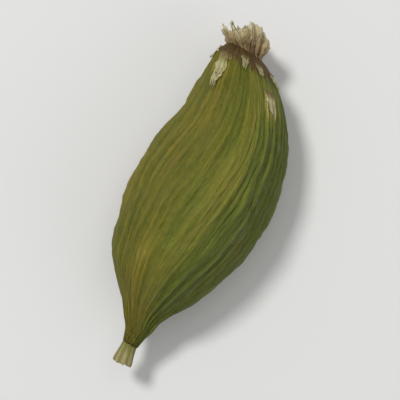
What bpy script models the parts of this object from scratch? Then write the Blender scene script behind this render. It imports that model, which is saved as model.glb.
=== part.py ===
"""A dried green cardamom pod: the three-sided husk, the stub of its stalk and the dry remnant of its flower.

Sizes are in metres and +Z is up. The pod lies on one of its three faces, on a small flat spot. The origin is
the middle of that spot, and +X runs along the pod, from the stalk towards the flower.
"""

import math
import random

import bmesh
import bpy
from mathutils import Euler, Vector

# The husk's driving sizes. A share is counted along the husk, from 0 at the stalk end to 1 at the flower end.
HUSK_LENGTH = 0.0164
HUSK_WIDTH = 0.0082
HALF_WIDTH = HUSK_WIDTH / 2
# The outline's points: (share of the length, share of the half width).
HUSK_OUTLINE = (
    (0.00, 0.225),
    (0.05, 0.32),
    (0.10, 0.475),
    (0.16, 0.65),
    (0.24, 0.80),
    (0.33, 0.905),
    (0.42, 0.975),
    (0.51, 1.00),
    (0.61, 0.97),
    (0.71, 0.895),
    (0.81, 0.79),
    (0.89, 0.68),
    (0.95, 0.56),
    (1.00, 0.42),
)
WIDEST_SHARE = 0.51
FLOWER_END_BEND = 0.0018
FLOWER_BEND_START = 0.66
STALK_END_BEND = 0.0006
STALK_BEND_END = 0.22
STALK_END_DROOP = 0.0004
TWIST = math.radians(8)
TOP_KEEL_LEAN = math.radians(9)

# What stands out of the husk: three keels with a seam along each, and ribs between them.
KEELS = 3
THREE_SIDED = 0.062
KEEL_HEIGHT = 0.00018
KEEL_SPREAD = math.radians(8)
RIBS = 27
RIB_HEIGHT = 0.000085
RIB_WAVE = (-1.0, 0.0, 1.0, 0.0)
RIB_WANDER = math.radians(1.3)
LEAST_RIB = 0.45
SEED_SWELL = 0.00007
SEEDS_IN_ROW = 4.5
SEED_ROW_OFFSET = math.radians(22)
SEED_ROW_SPREAD = math.radians(13)
# How far each face has shrunk in: the upper one on the -Y side, the one that it rests on, and the third.
FACE_HOLLOWS = (0.00022, 0.00002, 0.00016)
FACE_HOLLOW_SPREAD = math.radians(24)
SECTION_FADE = 0.30
RELIEF_FADE = 0.08

# The flat spot, and the height of the husk's middle line over it.
FLAT_SPOT_DEPTH = 0.00020
MIDDLE_HEIGHT = HALF_WIDTH * (1 - THREE_SIDED) - FLAT_SPOT_DEPTH

# The husk's mesh.
HUSK_COLUMNS = RIBS * len(RIB_WAVE)
BODY_RINGS = 32
LIP = 0.00012

# The sockets at the husk's ends, and the gap round what sits in them.
SEAT_GAP = 0.0003
STALK_ROOT_RADIUS = 0.00040
STALK_SUNK = 0.0006
REMNANT_ROOT_RADIUS = 0.00088
REMNANT_SUNK = 0.0005

# The stalk's stub: ridged, and swollen where it broke off. Shares are of its length, from its root.
STALK_LENGTH = 0.0029
STALK_MIDDLE_RADIUS = 0.00043
STALK_MIDDLE_SHARE = 0.4
STALK_SWELLS_FROM = 0.6
STALK_END_RADIUS = 0.00058
STALK_RIDGES = 8
STALK_RIDGE_HEIGHT = 0.000028
STALK_RIDGES_FADE = 0.3
STALK_CURVE = 0.00012
STALK_BREAK_DEPTH = 0.00012
STALK_BREAK_RADIUS = 0.00043
STALK_COLUMNS = STALK_RIDGES * 3
STALK_RINGS = 12
STALK_TURN = Euler((0, math.radians(-4), math.radians(4)))

# The flower's remnant: a dry cup with three torn teeth. Levels are shares of the cup's height on that side.
REMNANT_LENGTH = 0.0028
REMNANT_WAIST_RADIUS = 0.00084
REMNANT_WAIST_LEVEL = 0.3
REMNANT_FLARES_FROM = 0.35
REMNANT_MOUTH_RADIUS = 0.00135
REMNANT_WALL = 0.0006
REMNANT_FLOOR = 0.0010
REMNANT_FLOOR_RADIUS = 0.00034
REMNANT_INSIDE_LEVELS = (0.75, 0.95)
REMNANT_NOTCH_SHARE = 0.52
# Each tooth: its angle in degrees, its height as a share of the remnant's length, and how far it leans out.
REMNANT_TEETH = ((40, 1.00, 0.00020), (165, 0.80, 0.00030), (275, 0.90, -0.00010))
TOOTH_SPREAD = math.radians(44)
REMNANT_PLEATS = 9
REMNANT_PLEAT_HEIGHT = 0.00006
REMNANT_CURVE = 0.0007
REMNANT_COLUMNS = REMNANT_PLEATS * 4
REMNANT_WALL_RINGS = 7
REMNANT_TURN = Euler((0, math.radians(-5), math.radians(8)))

# Colours in linear light, roughness and metallic value of each finish.
HUSK_GREEN = (0.190, 0.205, 0.045, 1)
STALK_STRAW = (0.330, 0.270, 0.110, 1)
REMNANT_TAN = (0.300, 0.205, 0.105, 1)
HUSK_ROUGHNESS = 0.55
DRY_ROUGHNESS = 0.80
METALLIC = 0.0
SHARP_ANGLE = math.radians(60)

SEED = 11


def clear_scene():
    """Removes the objects that the scene starts with."""
    for old in list(bpy.data.objects):
        bpy.data.objects.remove(old)


def finish(name, colour, roughness):
    """A plain material of that colour and roughness."""
    material = bpy.data.materials.new(name)
    material.use_nodes = True
    shader = material.node_tree.nodes["Principled BSDF"]
    shader.inputs["Base Color"].default_value = colour
    shader.inputs["Roughness"].default_value = roughness
    shader.inputs["Metallic"].default_value = METALLIC
    material.diffuse_color = colour
    return material


def smooth_step(value):
    """0 below 0, 1 above 1, and an even curve between them."""
    held = min(1.0, max(0.0, value))
    return held * held * (3 - 2 * held)


def bell(offset, spread):
    """1 in the middle, falling off on both sides."""
    return math.exp(-((offset / spread) ** 2))


def slope_at(points, index):
    """The slope of the smooth curve through the points, at one of them."""
    before = points[max(0, index - 1)]
    after = points[min(len(points) - 1, index + 1)]
    return (after[1] - before[1]) / (after[0] - before[0])


def outline_radius(share):
    """The husk's radius at a share of its length, on a smooth curve through the outline's points."""
    index = 0
    while index < len(HUSK_OUTLINE) - 2 and share > HUSK_OUTLINE[index + 1][0]:
        index += 1
    (x0, y0), (x1, y1) = HUSK_OUTLINE[index], HUSK_OUTLINE[index + 1]
    step = x1 - x0
    t = (share - x0) / step
    start = slope_at(HUSK_OUTLINE, index) * step
    end = slope_at(HUSK_OUTLINE, index + 1) * step
    rise = (2 * t**3 - 3 * t**2 + 1) * y0 + (3 * t**2 - 2 * t**3) * y1
    lean = (t**3 - 2 * t**2 + t) * start + (t**3 - t**2) * end
    return HALF_WIDTH * (rise + lean)


def middle_line(share):
    """The middle of the husk's section at a share of its length, from that of the widest section."""
    flower = max(0.0, (share - FLOWER_BEND_START) / (1 - FLOWER_BEND_START)) ** 2
    stalk = max(0.0, 1 - share / STALK_BEND_END) ** 2
    sideways = FLOWER_END_BEND * flower - STALK_END_BEND * stalk
    return Vector(((share - WIDEST_SHARE) * HUSK_LENGTH, sideways, -STALK_END_DROOP * stalk))


def both_ends_fade(share, reach):
    """1 along the husk's body, falling to 0 over the reach at both of its ends."""
    return smooth_step(share / reach) * smooth_step((1 - share) / reach)


def section_fade(share):
    """How far the section is the belly's own, and not the plain round of the ends."""
    return both_ends_fade(share, SECTION_FADE)


class RibPattern:
    """How strong each rib is, and how it wanders as it runs along the husk."""

    def __init__(self, count, seed):
        draw = random.Random(seed)
        self.strengths = [draw.uniform(LEAST_RIB, 1.0) for _ in range(count)]
        self.waves = draw.uniform(1.1, 1.5)
        self.start = draw.uniform(0, 2 * math.pi)

    def height(self, column, share):
        """The ribs' height at a column of the mesh: a wave with a rib in each group of columns."""
        rib = (column // len(RIB_WAVE)) % len(self.strengths)
        girth = outline_radius(share) / HALF_WIDTH
        wave = RIB_WAVE[column % len(RIB_WAVE)] * both_ends_fade(share, RELIEF_FADE)
        return RIB_HEIGHT * self.strengths[rib] * girth * wave

    def wander(self, offset, share):
        """The angle by which the ribs leave their straight course."""
        return RIB_WANDER * math.sin(2 * math.pi * self.waves * share + 2 * offset + self.start)


def keel_offset(offset):
    """The signed angle from the nearest keel, and the number of that keel."""
    keel_angle = 2 * math.pi / KEELS
    keel = round(offset / keel_angle)
    return offset - keel * keel_angle, keel % KEELS


def seed_swell(from_keel, keel, share):
    """The low swellings over the two rows of seeds beside each keel."""
    row = 1 if from_keel > 0 else 0
    along = math.cos(2 * math.pi * (SEEDS_IN_ROW * share + row / 2 + keel / KEELS))
    across = bell(abs(from_keel) - SEED_ROW_OFFSET, SEED_ROW_SPREAD)
    return SEED_SWELL * along * across * section_fade(share)


def face_hollow(offset, share):
    """How far the face at that angle from the top keel has shrunk in, deepest between its keels."""
    face_angle = 2 * math.pi / KEELS
    face = int((offset % (2 * math.pi)) / face_angle) % KEELS
    from_middle = (offset % (2 * math.pi)) - (face + 0.5) * face_angle
    return FACE_HOLLOWS[face] * bell(from_middle, FACE_HOLLOW_SPREAD) * section_fade(share)


def husk_point(column, share, ribs):
    """The point of the husk's surface at a column of its mesh and a share of its length."""
    offset = 2 * math.pi * column / HUSK_COLUMNS
    from_keel, keel = keel_offset(offset)
    radius = outline_radius(share) * (1 + THREE_SIDED * math.cos(KEELS * offset) * section_fade(share))
    radius += KEEL_HEIGHT * bell(from_keel, KEEL_SPREAD) * section_fade(share)
    radius += ribs.height(column, share) + seed_swell(from_keel, keel, share) - face_hollow(offset, share)
    angle = math.pi / 2 + offset + ribs.wander(offset, share) + TWIST * (share - WIDEST_SHARE)
    angle += TOP_KEEL_LEAN * (1 + math.cos(offset)) / 2
    return middle_line(share) + radius * Vector((0, math.cos(angle), math.sin(angle)))


def round_point(column, columns, middle, radius):
    """A point on a plain circle across the X axis."""
    angle = math.pi / 2 + 2 * math.pi * column / columns
    return middle + radius * Vector((0, math.cos(angle), math.sin(angle)))


def shaped_sphere(name, columns, place_rings, poles):
    """A closed body from a sphere, whose rings of vertices and two poles go to the places given.

    Each of place_rings takes a column and gives its point. They run from the +X pole to the -X pole.
    """
    form = bmesh.new()
    bands = len(place_rings) + 1
    bmesh.ops.create_uvsphere(form, u_segments=columns, v_segments=bands, radius=1.0)
    for vertex in form.verts:
        ring = round(math.acos(max(-1.0, min(1.0, vertex.co.z))) / math.pi * bands)
        column = round(math.atan2(vertex.co.y, vertex.co.x) / (2 * math.pi) * columns) % columns
        if ring in (0, bands):
            vertex.co = poles[0] if ring == 0 else poles[1]
        else:
            vertex.co = place_rings[ring - 1](column)
    bmesh.ops.recalc_face_normals(form, faces=form.faces)
    mesh = bpy.data.meshes.new(name)
    form.to_mesh(mesh)
    form.free()
    return mesh


def socket_rings(middle, inward, root_radius, depth, rim_radius, columns):
    """The flat lip, wall and floor of a round socket, from its rim inwards, and the floor's middle."""
    radius = root_radius + SEAT_GAP
    floor = middle + Vector((inward * depth, 0, 0))
    rings = [
        lambda column: round_point(column, columns, middle, rim_radius - LIP),
        lambda column: round_point(column, columns, middle, radius),
        lambda column: round_point(column, columns, floor, radius),
    ]
    return rings, floor


def cut_flat_spot(mesh):
    """Cuts the underside level, which leaves the small flat spot that the pod rests on."""
    form = bmesh.new()
    form.from_mesh(mesh)
    whole = form.verts[:] + form.edges[:] + form.faces[:]
    floor = Vector((0, 0, -MIDDLE_HEIGHT))
    bmesh.ops.bisect_plane(form, geom=whole, plane_co=floor, plane_no=(0, 0, -1), clear_outer=True)
    rim = [edge for edge in form.edges if edge.is_boundary]
    bmesh.ops.holes_fill(form, edges=rim)
    form.to_mesh(mesh)
    form.free()


def husk_mesh(ribs):
    """The husk: a three-sided, ribbed spindle with a socket in each end and a flat spot underneath."""
    flower_end = middle_line(1.0) + Vector((LIP, 0, 0))
    stalk_end = middle_line(0.0) - Vector((LIP, 0, 0))
    flower_rings, flower_floor = socket_rings(
        flower_end, -1, REMNANT_ROOT_RADIUS, REMNANT_SUNK + SEAT_GAP, outline_radius(1.0), HUSK_COLUMNS
    )
    stalk_rings, stalk_floor = socket_rings(
        stalk_end, 1, STALK_ROOT_RADIUS, STALK_SUNK + SEAT_GAP, outline_radius(0.0), HUSK_COLUMNS
    )
    shares = [(1 + math.cos(math.pi * ring / (BODY_RINGS - 1))) / 2 for ring in range(BODY_RINGS)]
    body = [lambda column, share=share: husk_point(column, share, ribs) for share in shares]
    rings = flower_rings[::-1] + body + stalk_rings
    mesh = shaped_sphere("husk", HUSK_COLUMNS, rings, (flower_floor, stalk_floor))
    cut_flat_spot(mesh)
    return mesh


def stalk_radius(share):
    """The stalk's radius from its root, at 0, to its broken end, at 1."""
    to_middle = smooth_step(share / STALK_MIDDLE_SHARE)
    to_end = smooth_step((share - STALK_SWELLS_FROM) / (1 - STALK_SWELLS_FROM))
    even = STALK_ROOT_RADIUS + (STALK_MIDDLE_RADIUS - STALK_ROOT_RADIUS) * to_middle
    return even + (STALK_END_RADIUS - STALK_MIDDLE_RADIUS) * to_end


def stalk_mesh():
    """The stub of the stalk: it runs from its root towards -X, curves a little and has ridges along it."""

    def middle(share):
        return Vector((-STALK_LENGTH * share, -STALK_CURVE * share**2, 0))

    def place(column, share):
        ridge = math.cos(2 * math.pi * STALK_RIDGES * column / STALK_COLUMNS)
        radius = stalk_radius(share) + STALK_RIDGE_HEIGHT * ridge * smooth_step(share / STALK_RIDGES_FADE)
        return round_point(column, STALK_COLUMNS, middle(share), radius)

    def torn(column):
        turn = 2 * math.pi * column / STALK_COLUMNS
        uneven = STALK_BREAK_DEPTH / 2 * (math.sin(turn) + math.sin(3 * turn))
        return round_point(column, STALK_COLUMNS, middle(1.0) - Vector((uneven, 0, 0)), STALK_BREAK_RADIUS)

    shares = [ring / (STALK_RINGS - 1) for ring in range(STALK_RINGS)]
    rings = [lambda column, share=share: place(column, share) for share in shares] + [torn]
    break_floor = middle(1.0) + Vector((STALK_BREAK_DEPTH, 0, 0))
    return shaped_sphere("stalk", STALK_COLUMNS, rings, (middle(0.0), break_floor))


def tooth_rise(angle):
    """(height of the cup's torn edge as a share, its lean outwards) at an angle round the cup."""
    rise, lean = REMNANT_NOTCH_SHARE, 0.0
    for degrees, height, out in REMNANT_TEETH:
        from_tooth = math.remainder(angle - math.radians(degrees), 2 * math.pi)
        nearness = bell(from_tooth, TOOTH_SPREAD)
        rise += (height - REMNANT_NOTCH_SHARE) * nearness
        lean += out * nearness
    return rise, lean


def remnant_mesh():
    """The dry remnant of the flower: a pleated cup with three torn teeth, bent a little to +Y."""

    def place(column, level, inset):
        angle = 2 * math.pi * column / REMNANT_COLUMNS
        rise, lean = tooth_rise(angle)
        middle = Vector((level * rise * REMNANT_LENGTH, REMNANT_CURVE * (level * rise) ** 2, 0))
        waist = smooth_step(level / REMNANT_WAIST_LEVEL)
        mouth = smooth_step((level - REMNANT_FLARES_FROM) / (1 - REMNANT_FLARES_FROM))
        radius = REMNANT_ROOT_RADIUS + (REMNANT_WAIST_RADIUS - REMNANT_ROOT_RADIUS) * waist
        radius += (REMNANT_MOUTH_RADIUS - REMNANT_WAIST_RADIUS + lean) * mouth
        pleat = REMNANT_PLEAT_HEIGHT * math.cos(REMNANT_PLEATS * angle) * waist
        return round_point(column, REMNANT_COLUMNS, middle, radius + pleat - inset)

    def hollow_floor(column):
        return round_point(column, REMNANT_COLUMNS, floor_middle, REMNANT_FLOOR_RADIUS)

    floor_middle = Vector((REMNANT_FLOOR, 0, 0))
    levels = [ring / (REMNANT_WALL_RINGS - 1) for ring in range(REMNANT_WALL_RINGS)]
    walls = [(level, REMNANT_WALL) for level in REMNANT_INSIDE_LEVELS]
    walls += [(level, 0.0) for level in reversed(levels)]
    rings = [hollow_floor] + [lambda column, wall=wall: place(column, *wall) for wall in walls]
    return shaped_sphere("flower_remnant", REMNANT_COLUMNS, rings, (floor_middle, Vector()))


def add_piece(name, mesh, material, collection, parent, location, rotation=Euler()):
    """An object for one piece of the pod, shaded smooth, placed under the pod's empty."""
    mesh.materials.append(material)
    mesh.shade_smooth()
    mesh.set_sharp_from_angle(angle=SHARP_ANGLE)
    piece = bpy.data.objects.new(name, mesh)
    collection.objects.link(piece)
    piece.parent = parent
    piece.location = location
    piece.rotation_euler = rotation
    return piece


def main():
    """Builds the pod: its husk, and the stalk's stub and the flower's remnant in the husk's sockets."""
    clear_scene()
    collection = bpy.data.collections.new("green_cardamom_pod")
    bpy.context.scene.collection.children.link(collection)
    pod = bpy.data.objects.new("pod_middle", None)
    pod.location = (0, 0, MIDDLE_HEIGHT)
    collection.objects.link(pod)

    husk_green = finish("husk_green", HUSK_GREEN, HUSK_ROUGHNESS)
    stalk_straw = finish("stalk_straw", STALK_STRAW, DRY_ROUGHNESS)
    remnant_tan = finish("remnant_tan", REMNANT_TAN, DRY_ROUGHNESS)

    add_piece("husk", husk_mesh(RibPattern(RIBS, SEED)), husk_green, collection, pod, Vector())
    stalk_root = middle_line(0.0) + Vector((STALK_SUNK - LIP, 0, 0))
    add_piece("stalk", stalk_mesh(), stalk_straw, collection, pod, stalk_root, STALK_TURN)
    remnant_root = middle_line(1.0) - Vector((REMNANT_SUNK - LIP, 0, 0))
    add_piece("flower_remnant", remnant_mesh(), remnant_tan, collection, pod, remnant_root, REMNANT_TURN)


main()
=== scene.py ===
"""The looks of a dried green cardamom pod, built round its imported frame.

Sizes are in metres and +Z is up. The pod lies on its flat spot, with its stalk towards -X and the remnant of
its flower towards +X. A share is counted along the husk, from 0 at the stalk end to 1 at the flower end. An
offset is an angle round the husk from its top keel, and it grows towards the -Y side. A rise is where a mark
begins and how far on it is full.
"""

import logging
import math
import random
from dataclasses import dataclass, replace
from enum import Enum

import bpy
import numpy as np
from mathutils import Euler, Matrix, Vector, noise


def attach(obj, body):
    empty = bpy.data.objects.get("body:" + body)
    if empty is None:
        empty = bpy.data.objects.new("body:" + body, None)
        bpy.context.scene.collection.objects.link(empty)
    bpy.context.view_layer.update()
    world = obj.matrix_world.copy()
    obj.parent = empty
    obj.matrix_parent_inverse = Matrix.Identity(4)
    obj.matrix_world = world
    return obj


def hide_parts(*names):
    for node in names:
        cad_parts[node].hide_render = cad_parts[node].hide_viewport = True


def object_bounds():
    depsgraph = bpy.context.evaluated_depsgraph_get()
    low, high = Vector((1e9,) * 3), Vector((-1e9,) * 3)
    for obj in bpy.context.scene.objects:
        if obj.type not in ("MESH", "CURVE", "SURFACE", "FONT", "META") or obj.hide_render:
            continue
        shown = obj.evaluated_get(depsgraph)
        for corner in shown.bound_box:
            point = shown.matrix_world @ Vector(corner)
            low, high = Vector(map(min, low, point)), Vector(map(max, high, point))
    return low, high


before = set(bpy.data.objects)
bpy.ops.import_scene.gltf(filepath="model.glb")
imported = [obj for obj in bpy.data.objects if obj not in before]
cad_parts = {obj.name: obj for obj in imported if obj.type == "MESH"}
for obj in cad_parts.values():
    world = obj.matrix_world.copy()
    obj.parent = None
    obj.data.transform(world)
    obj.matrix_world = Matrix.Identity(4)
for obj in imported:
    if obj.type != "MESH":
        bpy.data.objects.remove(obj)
CAD_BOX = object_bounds()

BODY = "root"
FULL_TURN = 2 * math.pi
MERGE_DISTANCE = 1e-7
NOISE_BAND = (0.30, 0.70)

Numbers = np.ndarray
Colour = tuple[float, float, float, float]
Pair = tuple[float, float]
Pairs = tuple[Pair, ...]
Rise = Pair
Piece = bpy.types.Object
Material = bpy.types.Material
Socket = bpy.types.NodeSocket

log = logging.getLogger("pod")


class Trait(Enum):
    """What a piece's vertices tell its finish."""

    FIBRE = "fibre"
    # How far up a rib or ridge a vertex is. The finishes use it to darken the valleys and grooves: partly the
    # skin's own tone, partly painted shade.
    CREST = "crest"
    SEAM = "seam"
    STRAW = "straw"
    EDGE = "edge"
    SCAR = "scar"
    WARMTH = "warmth"


def smooth_step(value: Numbers) -> Numbers:
    """0 below 0, 1 above 1, and an even curve between them."""
    held = np.clip(value, 0.0, 1.0)
    return held * held * (3 - 2 * held)


def bell(offset: Numbers, spread: float) -> Numbers:
    """1 in the middle, falling off on both sides."""
    return np.exp(-((offset / spread) ** 2))


def rising(value: Numbers, rise: Rise) -> Numbers:
    """0 up to the rise's start and 1 past its reach, which may be negative, and an even curve between."""
    start, reach = rise
    return smooth_step((value - start) / reach)


def both_ends_fade(share: Numbers, reach: float) -> Numbers:
    """1 in the middle of the span, falling to 0 over the reach at both of its ends."""
    return smooth_step(share / reach) * smooth_step((1 - share) / reach)


def cubic(t: Numbers, values: tuple, slopes: tuple, step: Numbers | float) -> Numbers:
    """A smooth curve from the first value and slope, at t = 0, to the last ones, a step on at t = 1."""
    level = (2 * t**3 - 3 * t**2 + 1) * values[0] + (3 * t**2 - 2 * t**3) * values[1]
    lean = (t**3 - 2 * t**2 + t) * slopes[0] + (t**3 - t**2) * slopes[1]
    return level + lean * step


def round_coordinates(
    offset: Numbers, along: Numbers, rounds: float, reach: float, start: float = 0.0
) -> Numbers:
    """Points for a pattern that closes on itself round a piece.

    Args:
        offset: The angles round the piece.
        along: The places along it.
        rounds: The radius of the circle that an offset runs round, so how fine the pattern is across.
        reach: The factor on along, so how fine the pattern is lengthwise.
        start: Moves the pattern to another stretch of the noise.

    Returns:
        One point a row.
    """
    return np.stack([rounds * np.cos(offset) + start, rounds * np.sin(offset), reach * along + start], axis=1)


def unevenness(points: Numbers, octaves: int = 3) -> Numbers:
    """Soft noise of about -1 to 1 at each of the points."""
    return np.array([noise.fractal(Vector(point), 1.0, 2.0, octaves) for point in points])


@dataclass(frozen=True)
class Relief:
    """Uneven relief: its depth, how fine it is round and along a piece, its noise's start and octaves."""

    depth: float
    rounds: float
    reach: float
    start: float = 0.0
    octaves: int = 3

    def height(self, offset: Numbers, along: Numbers) -> Numbers:
        """How high the relief stands at angles round the piece and places along it."""
        points = round_coordinates(offset, along, self.rounds, self.reach, self.start)
        return self.depth * unevenness(points, self.octaves)


@dataclass(frozen=True)
class Ridges:
    """Ridges that run along a piece: their number and height, and the size, waves and start of their sway."""

    count: int
    height: float
    sway: float
    waves: float
    start: float = 0.0

    def wave(self, offset: Numbers, share: Numbers) -> Numbers:
        """1 on the ridges' crests and -1 in the grooves between them."""
        return np.cos(self.count * offset + self.sway * np.sin(self.waves * share + self.start))


def deselect_all() -> None:
    """Leaves no object selected."""
    bpy.ops.object.select_all(action="DESELECT")


def select_only(pieces: list[Piece]) -> None:
    """Leaves just these pieces selected, the first of them active."""
    deselect_all()
    for piece in pieces:
        piece.select_set(True)
    bpy.context.view_layer.objects.active = pieces[0]


def turned_body(name: str, profile: list[tuple[float, float]], columns: int) -> Piece:
    """Turns a body round the X axis, as on a lathe.

    A vertex is extruded along the profile, and the line is spun round the axis and closed.

    Args:
        name: The new object's name.
        profile: The profile's points as (place along X, radius), which may start or end on the axis.
        columns: How many steps the turn has.

    Returns:
        The new object, at the origin.
    """
    deselect_all()
    along, radius = profile[0]
    bpy.ops.mesh.primitive_plane_add(size=abs(radius) + MERGE_DISTANCE, location=(along, 0, radius))
    bpy.ops.object.transform_apply(location=True, rotation=True, scale=True)
    body = bpy.context.object
    body.name = name
    body.data.name = name
    bpy.ops.object.mode_set(mode="EDIT")
    bpy.ops.mesh.merge(type="CENTER")
    for (here, radius), (there, next_radius) in zip(profile, profile[1:]):
        step = (there - here, 0, next_radius - radius)
        bpy.ops.mesh.extrude_vertices_move(TRANSFORM_OT_translate={"value": step})
    bpy.ops.mesh.select_all(action="SELECT")
    bpy.ops.mesh.spin(steps=columns, angle=FULL_TURN, center=(0, 0, 0), axis=(1, 0, 0))
    bpy.ops.mesh.select_all(action="SELECT")
    bpy.ops.mesh.remove_doubles(threshold=MERGE_DISTANCE)
    bpy.ops.mesh.normals_make_consistent(inside=False)
    bpy.ops.object.mode_set(mode="OBJECT")
    return body


def vertex_places(piece: Piece) -> Numbers:
    """The piece's vertices, one a row."""
    places = np.empty(len(piece.data.vertices) * 3)
    piece.data.vertices.foreach_get("co", places)
    return places.reshape(-1, 3)


def place_vertices(piece: Piece, places: Numbers) -> None:
    """Puts each vertex of the piece where its row says."""
    piece.data.vertices.foreach_set("co", places.ravel())
    piece.data.update()


def write_traits(piece: Piece, traits: dict[Trait, Numbers]) -> None:
    """Stores traits on the piece's vertices: a number each, or a point each."""
    for trait, values in traits.items():
        kind, key = ("FLOAT_VECTOR", "vector") if values.ndim > 1 else ("FLOAT", "value")
        attribute = piece.data.attributes.new(trait.value, kind, "POINT")
        attribute.data.foreach_set(key, values.astype(np.float32).ravel())


def give_wall(piece: Piece, thickness: float) -> None:
    """Makes a thin closed wall of an open sheet, half of it on either side."""
    select_only([piece])
    wall = piece.modifiers.new("wall", "SOLIDIFY")
    wall.thickness = thickness
    wall.offset = 0.0
    wall.use_even_offset = False
    bpy.ops.object.modifier_apply(modifier=wall.name)


def join_pieces(pieces: list[Piece], name: str) -> Piece:
    """Joins the pieces into the first of them, which takes the name."""
    select_only(pieces)
    bpy.ops.object.join()
    pieces[0].name = name
    pieces[0].data.name = name
    return pieces[0]


def dress(piece: Piece, material: Material, node: str) -> None:
    """Finishes a piece: its material, the body that carries it, and what it stands for.

    Args:
        piece: The finished mesh, in place.
        material: Its only material.
        node: The solid that it stands for, or an empty string.
    """
    piece.data.materials.clear()
    piece.data.materials.append(material)
    select_only([piece])
    bpy.ops.object.shade_smooth()
    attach(piece, BODY)
    if node:
        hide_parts(node)
    log.info("%s: %d vertices, %d faces", piece.name, len(piece.data.vertices), len(piece.data.polygons))


@dataclass(frozen=True)
class Grain:
    """Noise on a piece's fibre: how fine across it and along it, its octaves and their strength."""

    across: float
    along: float
    detail: float = 3.0
    roughness: float = 0.5


class Recipe:
    """A material's nodes, added and joined one by one."""

    def __init__(self, name: str) -> None:
        """Starts a material of that name with a plain Principled shader."""
        self.material = bpy.data.materials.new(name)
        self.material.use_nodes = True
        self.tree = self.material.node_tree
        self.shader = self.tree.nodes["Principled BSDF"]

    def put(self, node: bpy.types.Node, inputs: dict) -> None:
        """Gives a node's inputs their values, or joins them to the sockets given."""
        for key, value in inputs.items():
            if isinstance(value, Socket):
                self.tree.links.new(value, node.inputs[key])
            else:
                node.inputs[key].default_value = value

    def add(self, kind: str, inputs: dict, **settings: str) -> bpy.types.NodeOutputs:
        """Adds a node with its settings and its inputs, and returns its outputs."""
        node = self.tree.nodes.new("ShaderNode" + kind)
        for key, value in settings.items():
            setattr(node, key, value)
        self.put(node, inputs)
        return node.outputs

    def trait(self, trait: Trait) -> Socket:
        """A trait of the vertices, as a point or a number."""
        outputs = self.add("Attribute", {}, attribute_name=trait.value)
        return outputs["Vector" if trait is Trait.FIBRE else "Fac"]

    def grain(self, vector: Socket, grain: Grain) -> Socket:
        """The grain's noise from 0 to 1 on those coordinates."""
        scaled = self.stretched(vector, grain.across, grain.along)
        inputs = {"Vector": scaled, "Scale": 1.0, "Detail": grain.detail, "Roughness": grain.roughness}
        return self.add("TexNoise", inputs)["Fac"]

    def stretched(self, vector: Socket, across: float, along: float) -> Socket:
        """The fibre's coordinates, scaled across the piece and along it."""
        return self.add("Mapping", {"Vector": vector, "Scale": (across, across, along)})["Vector"]

    def bands(self, vector: Socket, grain: Grain) -> Socket:
        """The grain's noise, spread so that it fills 0 to 1."""
        return self.spread(self.grain(vector, grain), *NOISE_BAND)

    def cells(self, vector: Socket) -> Socket:
        """The distance from the nearest of scattered points, on those coordinates."""
        return self.add("TexVoronoi", {"Vector": vector, "Scale": 1.0})["Distance"]

    def spread(self, value: Socket, low: float, high: float) -> Socket:
        """0 where the value is at low, 1 where it is at high, evenly between and held outside."""
        inputs = {"Value": value, "From Min": low, "From Max": high}
        return self.add("MapRange", inputs, interpolation_type="SMOOTHSTEP")["Result"]

    def math(self, operation: str, *values: Socket | float) -> Socket:
        """One sum of the values."""
        return self.add("Math", dict(enumerate(values)), operation=operation)["Value"]

    def total(self, start: Socket | float, parts: list[tuple[Socket, float]]) -> Socket:
        """The start plus each part times its weight."""
        running = start
        for part, weight in parts:
            running = self.math("MULTIPLY_ADD", part, weight, running)
        return running

    def ramp(self, factor: Socket, stops: list[tuple[float, Colour]]) -> Socket:
        """The colour at a factor between the stops."""
        node = self.tree.nodes.new("ShaderNodeValToRGB")
        elements = node.color_ramp.elements
        while len(elements) < len(stops):
            elements.new(1.0)
        for element, (position, colour) in zip(elements, stops):
            element.position = position
            element.color = colour
        self.put(node, {"Fac": factor})
        return node.outputs["Color"]

    def blend(self, factor: Socket | float, first: Socket | Colour, second: Socket | Colour) -> Socket:
        """The first colour where the factor is 0, the second where it is 1."""
        return self.add("Mix", {0: factor, 6: first, 7: second}, data_type="RGBA")[2]

    def tinted(self, colour: Socket, tint: Colour, share: Socket, strength: float) -> Socket:
        """The colour, turned to the tint by the share times the strength."""
        return self.blend(self.math("MULTIPLY", share, strength), colour, tint)

    def bump(self, height: Socket, distance: float, below: Socket | None = None) -> Socket:
        """A surface normal from a height of 0 to 1, which stands for that distance."""
        inputs = {"Height": height, "Distance": distance, "Strength": 1.0}
        if below is not None:
            inputs["Normal"] = below
        return self.add("Bump", inputs)["Normal"]

    def finish(self, colour: Socket, roughness: Socket | float, gloss: float) -> Material:
        """Gives the shader its colour, roughness and gloss, and hands over the material."""
        self.put(self.shader, {"Base Color": colour, "Roughness": roughness, "Specular IOR Level": gloss})
        return self.material

    def let_light_in(self, weight: float, depths: tuple[float, float, float], scale: float) -> None:
        """Lets light in under the surface, to the scale times a depth each for red, green and blue."""
        inputs = {"Subsurface Weight": weight, "Subsurface Radius": depths, "Subsurface Scale": scale}
        self.put(self.shader, inputs)


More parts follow.
